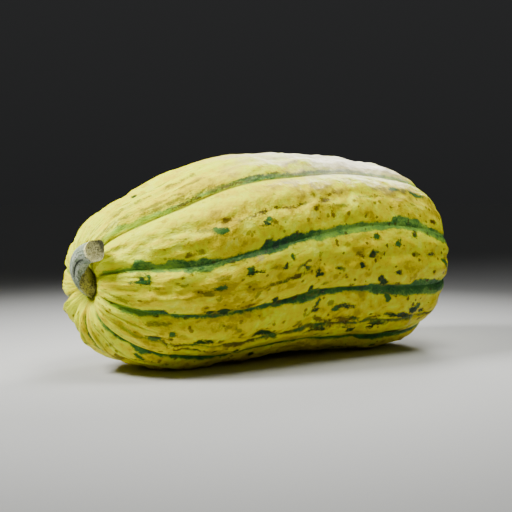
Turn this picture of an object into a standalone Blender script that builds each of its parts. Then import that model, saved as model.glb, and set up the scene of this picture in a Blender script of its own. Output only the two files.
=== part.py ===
"""A delicata squash lying on its belly: a long ribbed fruit, and the hooked stub of its stem.

Metres, +Z up. The fruit's length runs along X with the stem at -X, and its best side faces -Y. The
origin is on the surface that the squash rests on, under the middle of the whole.
"""

import math
import random

import bmesh
import bpy
import numpy as np

# The fruit's plain body. A station is a place along it, from -1 at the stem end to 1 at the blossom end.
LENGTH = 0.180
RADIUS = 0.0435
STEM_END_BLUNTNESS = 2.5
BLOSSOM_END_BLUNTNESS = 3.2
FULLNESS = (1.0, 0.03, 0.0, 0.15, 0.135)
SIDE_BEND = -0.0015
TAIL_LIFT = 0.0041
ARCH_BEND = -0.0177
ARCH_RETURN = 0.0126

# The hollow round the stem, and the dimple at the blossom end
HOLLOW_DEPTH = 0.009
HOLLOW_RADIUS = 0.011
DIMPLE_DEPTH = 0.003
DIMPLE_RADIUS = 0.009

# Where the fruit rests, and the middle of the whole, in the axes of the plain body
REST_HEIGHT = -0.0446
MIDDLE_X = -0.0022
MIDDLE_Y = -0.0002

# Grooves between the ribs: degrees above the side that faces -Y, at seven even stations from stem to blossom
GROOVE_ROUTES = (
    (93, 87, 86, 86, 90, 92, 93),
    (58, 52, 53, 52, 56, 57, 58),
    (22, 11, 10, 13, 18, 19, 13),
    (-16, -21, -22.5, -18.5, -17.5, -16, -16),
    (-48, -58, -61.5, -58.5, -57, -54, -51),
    (-88, -97, -94, -90, -88, -86, -84),
)
FAR_GROOVES = 4
FAR_WANDER = 2.5

# Relief of the skin
RIB_DEPTH = 0.0028
RIB_ROUNDNESS = 2.3
CREASE_DEPTH = 0.0009
CREASE_WIDTH = 0.09
LUMP_HEIGHT = 0.0004
LUMP_LENGTH = (0.024, 0.036)
RELIEF_STARTS = 0.005
RELIEF_FULL = 0.017
BLOSSOM_RELIEF = 0.6

# The stem's route and radii, counted from the bottom of the hollow. It starts behind the skin, and each side
# of the stem begins where it comes out of the hollow's floor.
STEM_ROUTE = (
    (0.0050, 0.0012, -0.0008),
    (0.0, 0.0, 0.0),
    (-0.0057, -0.0028, 0.0028),
    (-0.0083, -0.0042, 0.0070),
    (-0.0091, -0.0090, 0.0117),
    (-0.0089, -0.0178, 0.0140),
)
STEM_RADII = (0.0058, 0.0054, 0.0042, 0.0037, 0.0039, 0.0042)
STEM_CORE = 0.86
STEM_TWIST = 35
PITH_DEPTH = 0.0010

# Ridges round the stem at its cut end: degrees from +X, degrees wide, and height as a share of the radius
STEM_RIDGES = (
    (46, 26, 0.30),
    (112, 28, 0.08),
    (172, 38, 0.15),
    (212, 15, 0.08),
    (252, 16, 0.18),
    (300, 22, 0.12),
)
JOINT_GAP = 0.0004

FRUIT_ROWS = 46
COLUMNS_PER_RIB = 10
STEM_ROWS = 20
STEM_PLACES = 400
STEM_COLUMNS = 36
SEED = 7


def smooth_through(points, places):
    """Values at places from 0 to 1 along a smooth curve through evenly spaced points."""
    points = np.asarray(points, float)
    padded = np.concatenate([2 * points[:1] - points[1:2], points, 2 * points[-1:] - points[-2:-1]])
    run = np.clip(places, 0, 1) * (len(points) - 1)
    start = np.minimum(run.astype(int), len(points) - 2)
    part = (run - start).reshape(run.shape + (1,) * (points.ndim - 1))
    before, here, there, after = (padded[start + step] for step in range(4))
    slope = (there - before) / 2
    bend = before - 2.5 * here + 2 * there - after / 2
    turn = (3 * here - 3 * there + after - before) / 2
    return here + part * (slope + part * (bend + part * turn))


def ease(value, low, high):
    """0 below low, 1 above high, and a smooth rise between them."""
    part = np.clip((value - low) / (high - low), 0, 1)
    return part * part * (3 - 2 * part)


def plain_profile(turn):
    """Station, distance along the axis and radius of the plain body, for turns from 0 to pi."""
    along, across = -np.cos(turn), np.sin(turn)
    bluntness = np.where(along < 0, STEM_END_BLUNTNESS, BLOSSOM_END_BLUNTNESS)
    station = np.sign(along) * np.abs(along) ** (2 / bluntness)
    radius = RADIUS * across ** (2 / bluntness) * sum(c * station**n for n, c in enumerate(FULLNESS))
    hollow = HOLLOW_DEPTH * np.exp(-((radius / HOLLOW_RADIUS) ** 2))
    dimple = DIMPLE_DEPTH * np.exp(-((radius / DIMPLE_RADIUS) ** 2))
    return station, LENGTH / 2 * station + np.where(station < 0, hollow, -dimple), radius


def profile_rows(count):
    """Rows of the fruit between its two ends, closer together where the body is narrow."""
    turn = np.linspace(0, math.pi, 4001)
    station, x, radius = plain_profile(turn)
    steps = np.hypot(np.diff(x), np.diff(radius)) / (0.2 + (radius[1:] + radius[:-1]) / 2 / RADIUS)
    run = np.concatenate([[0], np.cumsum(steps)])
    return np.interp(np.linspace(0, run[-1], count + 2)[1:-1], run, turn)


def centre_line(station):
    """Y and Z of the fruit's bent axis."""
    rise = TAIL_LIFT * station + ARCH_BEND * station**2 + ARCH_RETURN * station**4
    return SIDE_BEND * station**2, rise


def groove_angles(station):
    """The angle of each groove at each station, one row for each groove, falling from the top."""
    draws = random.Random(SEED)
    place = (station + 1) / 2
    seen = [smooth_through(route, place) for route in GROOVE_ROUTES]
    first, last = seen[0] - 360, seen[-1]
    far = []
    for number in range(1, FAR_GROOVES + 1):
        share = number / (FAR_GROOVES + 1)
        wander = smooth_through([draws.uniform(-FAR_WANDER, FAR_WANDER) for _ in GROOVE_ROUTES[0]], place)
        far.append(last + share * (first - last) + wander)
    return np.radians(np.array(seen + far))


def relief(rib, across, station, x, radius):
    """Height of the skin over the plain body; across runs from 0 to 1 from one groove to the next."""
    draws = random.Random(SEED + 1 + rib)
    length = draws.uniform(*LUMP_LENGTH)
    phase = draws.uniform(0, 2 * math.pi)
    off_middle = np.abs(2 * across - 1)
    groove = RIB_DEPTH * (0.25 - off_middle**RIB_ROUNDNESS)
    crease = CREASE_DEPTH * np.exp(-((off_middle / (2 * CREASE_WIDTH)) ** 2))
    lump = LUMP_HEIGHT * np.sin(2 * math.pi * x / length + phase) * (1 - off_middle**2)
    fading = 1 - (1 - BLOSSOM_RELIEF) * ease(station, 0, 1)
    return (groove - crease + lump) * fading * ease(radius, RELIEF_STARTS, RELIEF_FULL)


def fruit_rings():
    """Rings of points round the fruit, with a column along every groove, and the two end points."""
    turn = profile_rows(FRUIT_ROWS)
    station, x, radius = plain_profile(turn)
    slope_x, slope_r = np.gradient(x, turn), np.gradient(radius, turn)
    steep = np.hypot(slope_x, slope_r)
    grooves = groove_angles(station)
    grooves = np.concatenate([grooves, grooves[:1] - 2 * math.pi])
    middle_y, middle_z = centre_line(station)
    columns = []
    for rib in range(len(grooves) - 1):
        for step in range(COLUMNS_PER_RIB):
            across = step / COLUMNS_PER_RIB
            angle = grooves[rib] + across * (grooves[rib + 1] - grooves[rib])
            rise = relief(rib, across, station, x, radius)
            out = radius + rise * slope_x / steep
            columns.append(
                np.stack(
                    [
                        x - rise * slope_r / steep,
                        middle_y - out * np.cos(angle),
                        middle_z + out * np.sin(angle),
                    ],
                    axis=-1,
                )
            )
    ends = [end_point(0.0), end_point(math.pi)]
    return np.stack(columns, axis=1), np.array(ends)


def end_point(turn):
    station, x, radius = plain_profile(np.array([turn]))
    middle_y, middle_z = centre_line(station)
    return np.array([x[0], middle_y[0], middle_z[0]])


def hollow_floor(points):
    """X of the plain body at the stem end, behind each of these points."""
    turn = np.linspace(0, math.pi / 3, 400)
    station, x, radius = plain_profile(turn)
    away = np.linalg.norm(points[..., 1:] - end_point(0.0)[1:], axis=-1)
    return np.interp(away, radius, x)


def stem_outline(degrees):
    """The stem's ridged outline, as a share of its radius."""
    outline = np.full(degrees.shape, STEM_CORE)
    for place, width, height in STEM_RIDGES:
        off_ridge = (degrees - place + 180) % 360 - 180
        outline += height * np.exp(-((off_ridge / width) ** 2))
    return outline


def stem_tube():
    """Points along the whole stem, one row for each place on its route, with its middle and its direction."""
    place = np.linspace(0, 1, STEM_PLACES)
    middle = end_point(0.0) + smooth_through(STEM_ROUTE, place)
    run = np.gradient(middle, axis=0)
    run /= np.linalg.norm(run, axis=1)[:, None]
    side = np.cross((0.0, 0.0, 1.0), run)
    for row in reversed(range(STEM_PLACES)):
        carried = side[min(row + 1, STEM_PLACES - 1)]
        side[row] = carried - carried.dot(run[row]) * run[row]
        side[row] /= np.linalg.norm(side[row])
    turn = np.linspace(0, 2 * math.pi, STEM_COLUMNS, endpoint=False)
    around = np.cos(turn)[:, None] * side[:, None] + np.sin(turn)[:, None] * np.cross(run, side)[:, None]
    degrees = np.degrees(turn) + STEM_TWIST * (1 - place[:, None])
    reach = smooth_through(STEM_RADII, place)[:, None] * stem_outline(degrees)
    return middle[:, None] + reach[..., None] * around, middle, run


def stem_rings():
    """Rings of points from the middle of the foot, up the stem and in over its cut end, and the two tips."""
    tube, middle, run = stem_tube()
    sunk = tube[..., 0] > hollow_floor(tube) - JOINT_GAP
    columns = []
    for column in range(STEM_COLUMNS):
        start = np.flatnonzero(~sunk[:, column])[0]
        rows = np.round(np.linspace(start, STEM_PLACES - 1, STEM_ROWS)).astype(int)
        columns.append(tube[rows, column])
    rings = list(np.stack(columns, axis=1))
    foot_middle = rings[0].mean(axis=0)
    inner_foot = foot_middle + 0.5 * (rings[0] - foot_middle)
    inner_cut = middle[-1] + 0.6 * (rings[-1] - middle[-1]) - PITH_DEPTH * run[-1]
    tips = np.array([foot_middle, middle[-1] - 1.3 * PITH_DEPTH * run[-1]])
    for foot_part in (inner_foot, rings[0], tips[:1]):
        foot_part[:, 0] = hollow_floor(foot_part) - JOINT_GAP
    return np.array([inner_foot] + rings + [inner_cut]), tips


def finish_material(name, colour, roughness):
    material = bpy.data.materials.new(name)
    material.use_nodes = True
    shader = material.node_tree.nodes["Principled BSDF"]
    shader.inputs["Base Color"].default_value = (*colour, 1)
    shader.inputs["Roughness"].default_value = roughness
    material.diffuse_color = (*colour, 1)
    return material


def closed_body(name, rings, tips, materials):
    """A smooth closed object from rings of points, with a fan of triangles to a tip at each end."""
    count, around = rings.shape[:2]
    resting = np.concatenate([rings.reshape(-1, 3), tips])
    resting[:, 2] = np.maximum(resting[:, 2], REST_HEIGHT)
    resting -= (MIDDLE_X, MIDDLE_Y, REST_HEIGHT)
    faces = []
    for column in range(around):
        nearest = (column + 1) % around
        faces.append((count * around, nearest, column))
        for row in range(0, (count - 1) * around, around):
            faces.append((row + column, row + nearest, row + around + nearest, row + around + column))
        last = (count - 1) * around
        faces.append((count * around + 1, last + column, last + nearest))
    mesh = bpy.data.meshes.new(name)
    mesh.from_pydata(resting.tolist(), [], faces)
    shaped = bmesh.new()
    shaped.from_mesh(mesh)
    bmesh.ops.recalc_face_normals(shaped, faces=shaped.faces)
    shaped.to_mesh(mesh)
    shaped.free()
    mesh.shade_smooth()
    for material in materials:
        mesh.materials.append(material)
    body = bpy.data.objects.new(name, mesh)
    bpy.context.scene.collection.objects.link(body)
    return body


def make_fruit():
    yellow = finish_material("yellow_rind", (0.75, 0.62, 0.09), 0.45)
    green = finish_material("green_stripe", (0.07, 0.19, 0.03), 0.45)
    rings, tips = fruit_rings()
    body = closed_body("fruit", rings, tips, (yellow, green))
    faces_per_column = FRUIT_ROWS + 1
    for face in body.data.polygons:
        column = face.index // faces_per_column % COLUMNS_PER_RIB
        face.material_index = int(column in (0, COLUMNS_PER_RIB - 1))
    return body


def make_stem():
    cork = finish_material("dry_stem", (0.36, 0.36, 0.24), 0.8)
    rings, tips = stem_rings()
    body = closed_body("stem", rings, tips, (cork,))
    body.data.set_sharp_from_angle(angle=math.radians(50))
    return body


for old in list(bpy.data.objects):
    bpy.data.objects.remove(old, do_unlink=True)
make_fruit()
make_stem()
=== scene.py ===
"""Looks of a delicata squash: its ribbed, striped and speckled rind, and the dry hooked stub of its stem.

Metres, +Z up, in the frame of the CAD model. The fruit's length runs along X with the stem at -X, and its
best side faces -Y.
"""

import math
import random

import bmesh
import bpy
import numpy as np
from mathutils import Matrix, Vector


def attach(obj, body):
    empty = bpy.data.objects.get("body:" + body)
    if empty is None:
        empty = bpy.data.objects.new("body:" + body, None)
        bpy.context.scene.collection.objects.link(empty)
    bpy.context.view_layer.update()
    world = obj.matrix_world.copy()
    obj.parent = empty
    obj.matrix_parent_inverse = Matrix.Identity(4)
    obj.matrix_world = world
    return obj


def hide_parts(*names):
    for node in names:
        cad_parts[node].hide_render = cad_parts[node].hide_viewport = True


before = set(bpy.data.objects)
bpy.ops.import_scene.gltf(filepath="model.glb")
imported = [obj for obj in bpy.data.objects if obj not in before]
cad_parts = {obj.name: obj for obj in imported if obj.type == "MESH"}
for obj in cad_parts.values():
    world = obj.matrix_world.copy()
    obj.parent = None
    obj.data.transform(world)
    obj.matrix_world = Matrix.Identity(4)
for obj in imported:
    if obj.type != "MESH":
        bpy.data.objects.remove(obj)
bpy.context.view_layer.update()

MM = 0.001

# Each thing drawn by chance adds a number of its own to this seed
SEED = 7

# The fruit's plain body. A station runs along it from -1 at the stem end to 1 at the blossom end.
LENGTH = 180 * MM
RADIUS = 43.5 * MM
STEM_END_BLUNTNESS = 2.5
BLOSSOM_END_BLUNTNESS = 3.2
FULLNESS = (1.0, 0.03, 0.0, 0.15, 0.135)
SIDE_BEND = -1.5 * MM
TAIL_LIFT = 4.1 * MM
ARCH_BEND = -17.7 * MM
ARCH_RETURN = 12.6 * MM

# The hollow round the stem, and the dimple at the blossom end
HOLLOW_DEPTH = 9 * MM
HOLLOW_RADIUS = 11 * MM
DIMPLE_DEPTH = 3 * MM
DIMPLE_RADIUS = 9 * MM

# Where the fruit rests, and the middle of the whole, in the axes of the plain body
REST_HEIGHT = -44.6 * MM
MIDDLE_X = -2.2 * MM
MIDDLE_Y = -0.2 * MM

# Grooves between the ribs: degrees above the side that faces -Y, at seven even stations from stem to blossom
GROOVE_ROUTES = (
    (93, 87, 86, 86, 90, 92, 93),
    (58, 52, 53, 52, 56, 57, 58),
    (22, 11, 10, 13, 18, 19, 13),
    (-16, -21, -22.5, -18.5, -17.5, -16, -16),
    (-48, -58, -61.5, -58.5, -57, -54, -51),
    (-88, -97, -94, -90, -88, -86, -84),
)
FAR_GROOVES = 4
FAR_WANDER = 2.5
RIBS = len(GROOVE_ROUTES) + FAR_GROOVES

# Relief of the skin. A rib's crown stands over the plain body by a share of its depth.
RIB_DEPTH = 2.8 * MM
RIB_CROWN = 0.25
RIB_ROUNDNESS = 2.3
CREASE_DEPTH = 0.9 * MM
CREASE_WIDTH = 0.09
LUMP_HEIGHT = 0.4 * MM
LUMP_LENGTH = (24 * MM, 36 * MM)
RELIEF_STARTS = 5 * MM
RELIEF_FULL = 17 * MM
BLOSSOM_RELIEF = 0.6

# Fine relief, in cells so many millimetres long and so many to a turn. Swellings are lower on the top, and
# gain their full height over the second rib from it.
SWELLING = 1.0 * MM
SWELLING_CELLS = (8, 48)
TOP_SWELLING = 0.25
SWELLING_SIDES = (1.2, 2.2)
PUCKER = 0.42 * MM
PUCKER_CELLS = (3.6, 110)

# Folds that gather in to the stem, in ribs round the fruit and millimetres along the skin. They fade from a
# share of the way to their ends.
FOLDS_ON_RIB = 2
FOLD_DEPTH = 0.4 * MM
FOLD_WIDTH = 0.55
FOLD_STRAY = 0.08
FOLD_STARTS = (11, 15)
FOLD_RISE = 5
FOLD_ENDS = (26, 58)
FOLD_FADES = 0.6
SHALLOW_RIBS = (1, 2)
SHALLOW_FOLD = 0.5

# Creases along the middles of ribs: the place round, where each starts and ends, and its depth as a share of
# a fold's
CREASES = ((1.54, 70, 128, 0.5), (2.6, 50, 124, 0.7), (3.565, 24, 192, 1.0))
CREASE_RISE = 15
CREASE_FADE = 25

# The corky button where the blossom fell off
SCAR_RADIUS = 4.5 * MM
SCAR_CORE = 0.7
SCAR_RIM = 0.5 * MM
SCAR_RIM_WIDTH = 1.0 * MM

# A small healed graze: its millimetres along and ribs round, its radius, and the share of it that is worst
GRAZE_PLACE = (80, 2.13)
GRAZE_RADIUS = 2.6
GRAZE_CORE = 0.2

# Ripeness of the ground: the pale crown and how far round it ends, the ripest patch and its reach, the young
# end, and the ripest place across a rib. The pale crown is partly painted light on the top, and painted
# shade turns the sides and underside ochre. The ripest place across a rib is partly painted shade on each
# rib's lower side.
LIT_CROWN = 0.6
LIT_CROWN_SIDES = (0.7, 1.9)
RIPE_PLACE = (105, 1.3)
RIPE_REACH = (45, 0.45)
YOUNG_END = (12, 60)
SHADED_SHOULDER = 0.62
BROAD_CELLS = (34, 22)
SMALL_CELLS = (11, 48)

# Pale bloom, partly a painted sheen on the top: the millimetres below the top over which it ends, and those
# along the skin over which it gathers and then loses a share
BLOOM_AND_SHEEN_BELOW = (2, 24)
BLOOM_AND_SHEEN_GATHERS = (50, 140)
BLOOM_AND_SHEEN_THINS = (165, 200)
BLOOM_AND_SHEEN_LOSS = 0.75

# Freckles: how thick they are at least, and how much more down the sides and toward the blossom end
FRECKLES = (0.25, 0.5, 0.25)
FRECKLE_CELL = 3.8 * MM
FRECKLED_SIDES = (0.8, 2.4)
FRECKLED_ALONG = (60, 150)

# Tints: the millimetres that a groove's painted shade spreads, a fold's share of it, the depth of green that
# covers the ground, and the radii over which the hollow's tint fades. The dark olive in the grooves and folds
# is partly the rind's own green and partly painted shade.
GROOVE_SHADE = 0.7
FOLD_TINT = 0.7
FULL_STRIPE = 0.45
HOLLOW_TINT = (4 * MM, 12 * MM)

# The stem's route and radii in millimetres from the bottom of the hollow. A ridge has its degrees round the
# stem, its spread in degrees, and its height as a share of the radius.
STEM_ROUTE = (
    (5.0, 1.2, -0.8), (0.0, 0.0, 0.0), (-5.7, -2.8, 2.8), (-8.3, -4.2, 7.0), (-9.1, -9.0, 11.7),
    (-8.9, -17.8, 14.0),
)
STEM_RADII = (5.8, 5.4, 4.2, 3.7, 3.9, 4.2)
STEM_CORE = 0.86
STEM_TWIST = 35
PITH_DEPTH = 1.0 * MM
STEM_RIDGES = (
    (46, 26, 0.30), (112, 28, 0.08), (172, 38, 0.15), (212, 15, 0.08), (252, 16, 0.18), (300, 22, 0.12),
)

# The gap to the fruit, the foot's inner ring as a share of its outer one, and the least turn of an edge
JOINT_GAP = 0.4 * MM
FOOT_SHARE = 0.5
SHARP_EDGE = math.radians(50)

# The furrow on the hook's side, and the olive inner side: degrees round the stem, shares of its radius, and
# places from 0 at its foot to 1 at its cut. The furrow's near-black and the inner side's olive are partly
# painted shade.
FURROW_AT = 226
FURROW_WIDTH = 6
FURROW_DEPTH = 0.12
FURROW_STARTS = (0.48, 0.58)
FURROW_ENDS = (0.86, 0.93)
INNER_STARTS = ((0.0, 222), (0.37, 222), (0.43, 238), (0.5, 266), (0.6, 288), (0.8, 310))
INNER_ENDS = 400
INNER_EDGE = 10

# Rings over the cut end, as shares of the rim's radius and of the pith's depth. The rim is smooth, and the
# pith is darker grey toward the side that faces up.
CUT_RINGS = (
    (0.96, 0.05), (0.88, 0.3), (0.76, 0.65), (0.62, 0.8), (0.48, 0.9), (0.34, 1.0), (0.20, 1.0), (0.10, 1.0),
)
CUT_STARTS = (0.95, 0.99)
SMOOTH_RIM = 0.95
CUT_ROUGHNESS = 0.2 * MM
DARKER_TOWARD = (0.75, 0.0, 0.66)
DARKER_SHARES = (0.3, 0.9)

# How finely the pieces are made. Rows are closer at the fruit's ends, and columns at its grooves.
FRUIT_ROWS = 203
COLUMNS_PER_RIB = 48
GROOVE_CROWDING = 0.5
END_SPACING = 0.8
PLACES = 4001
STEM_ROWS = 90
STEM_PLACES = 900
STEM_COLUMNS = 144
FLOOR_TURN = math.pi / 3
FLOOR_PLACES = 400

# Kinds of mark: how green it is, from brown at 0 to black-green at 1, and how strongly it shows
UMBER = (0.12, 1.0)
BROWN = (0.0, 0.8)
TAN = (0.05, 0.3)
OLIVE = (0.35, 0.65)
HAZE = (0.45, 0.28)
GREEN = (0.7, 1.0)
DARK = (1.0, 1.0)
SLATE = (0.9, 0.55)

# Stripes of the best side. Each begins with its place round, in ribs from the top groove. Then, for places
# in millimetres along the skin: its upper and lower edge, in hundredths of a rib below its place round, and
# how deep its green is.
STRIPES = (
    (0, (30, -3, 1, 0.1), (110, -3, 2, 0.14), (222, -4, 3, 0.2)),
    (1, (20, -16, -6, 0.2), (30, -22, -6, 0.35), (36, -12, -3, 0.3), (58, -9, -3, 0.4), (75, -8, -3, 0.5),
     (84, -11, -1, 0.65), (96, -10, -1, 0.8), (112, -7, -1, 0.75), (130, -9, -3, 0.6), (138, -10, -4, 0.7),
     (150, -8, -3, 0.5), (190, -7, -1, 0.35), (222, -8, 4, 0.3)),
    (2, (16, -5, 3, 0.3), (20, -7, 3, 0.45), (29.5, -8, 6, 0.5), (30.5, -22, 6, 0.62), (33, -18, 8, 0.62),
     (37, -10, 8, 0.55), (42, -8, 6, 0.5), (43, -14, 7, 0.5), (48, -13, 8, 0.6), (50, -7, 12, 0.68),
     (55, -10, 15, 0.62), (60, -7, 13, 0.68), (64, -3, 9, 0.9), (66, -2, 6, 0.9), (75, -3, 9, 0.9),
     (82, -2, 9, 0.9), (83, -11, 10, 1.0), (88, -8, 11, 1.0), (93, -8, 9, 1.0), (97, -10, 5, 1.0),
     (104, -7, 5, 0.9), (110, -7, 12, 0.65), (115, -5, 10, 0.5), (120, -7, 9, 0.56), (130, -6, 10, 0.5),
     (140, -6, 9, 0.5), (152, -6, 6, 0.5), (153.5, -14, 6, 0.6), (158, -15, 7, 0.6), (168, -12, 9, 0.55),
     (176, -6, 13, 0.52), (186, -3, 18, 0.5), (205, -5, 14, 0.5), (224, -5, 5, 0.4)),
    (3, (16, 1, 6, 0.2), (21, 0, 8, 0.35), (25, -3, 13, 0.45), (30, -4, 13, 0.5), (37, -9, 5, 0.75),
     (41, -10, 3, 1.0), (43, -2, 2, 0.9), (57, 0, 6, 1.0), (75, -1, 4, 1.0), (87, -3, 5, 1.0),
     (94, -1, 6, 1.0), (100, 1, 10, 0.95), (108, -3, 14, 0.85), (113, -1, 8, 0.85), (125, 0, 6, 0.9),
     (135, -1, 7, 0.9), (141, -5, 11, 0.9), (150, -3, 12, 0.9), (163, -3, 15, 0.85), (165, -11, 14, 0.8),
     (172, -12, 14, 0.75), (180, -9, 17, 0.85), (188, -2, 16, 0.85), (205, -4, 12, 0.8), (224, -4, 4, 0.6)),
    (4, (13, -3, 4, 0.6), (22, -2, 5, 0.8), (30, -4, 4, 0.85), (36, -5, 6, 0.85), (40, -4, 12, 0.9),
     (42, -4, 5, 0.9), (50, -3, 5, 0.9), (66, -3, 8, 0.95), (80, -2, 6, 0.9), (95, -4, 3, 0.9),
     (125, -4, 3, 0.9), (138, -4, 9, 0.9), (146, -3, 4, 0.9), (152, -1, 12, 0.95), (163, -4, 10, 0.95),
     (178, -5, 8, 0.9), (200, -5, 8, 0.8), (224, -4, 4, 0.6)),
    (5, (12, -3, 5, 0.7), (20, -3, 6, 0.8), (25, -4, 8, 0.85), (34, -4, 9, 0.85), (48, -5, 7, 0.8),
     (75, -3, 6, 0.85), (110, -6, 5, 0.9), (150, -3, 9, 0.85), (190, -6, 6, 0.8), (224, -4, 4, 0.6)),
    (3.565, (26, -0.6, 0.6, 0.3), (45, -1, 1, 0.8), (60, -1.4, 1.4, 0.95), (72, -0.6, 0.6, 0.5),
     (88, -1.4, 1.8, 1.0), (104, -1.4, 1.2, 1.0), (112, -0.8, 0.8, 0.9), (125, -1.4, 1.2, 1.0),
     (140, -1.4, 1.8, 1.0), (170, -2, 2, 0.95), (192, -0.8, 0.8, 0.5)),
)

# Bare skin counts as so many millimetres outside every stripe
STRIPE_REACH = 20.0

# Stripes drawn by rule on the hidden sides. Between the first and last stretches, each has steps of its own,
# and now and then a tuft on top.
DRAWN_START = ((16, 0, 3, 0.3), (23, -3, 5, 0.6))
DRAWN_END = ((210, -5, 8, 0.8), (224, -4, 4, 0.6))
STEPS_BETWEEN = (28, 196)
STEP_TOP = (1, 9)
STEP_BOTTOM = (3, 10)
STEP_GREEN = (0.75, 1.0)
STEP_LENGTH = (5, 14)
STEP_SLANT = 2
STEP_GAP = (0.8, 4)
TUFT_CHANCE = 0.2
TUFT_HEIGHT = 7

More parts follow.
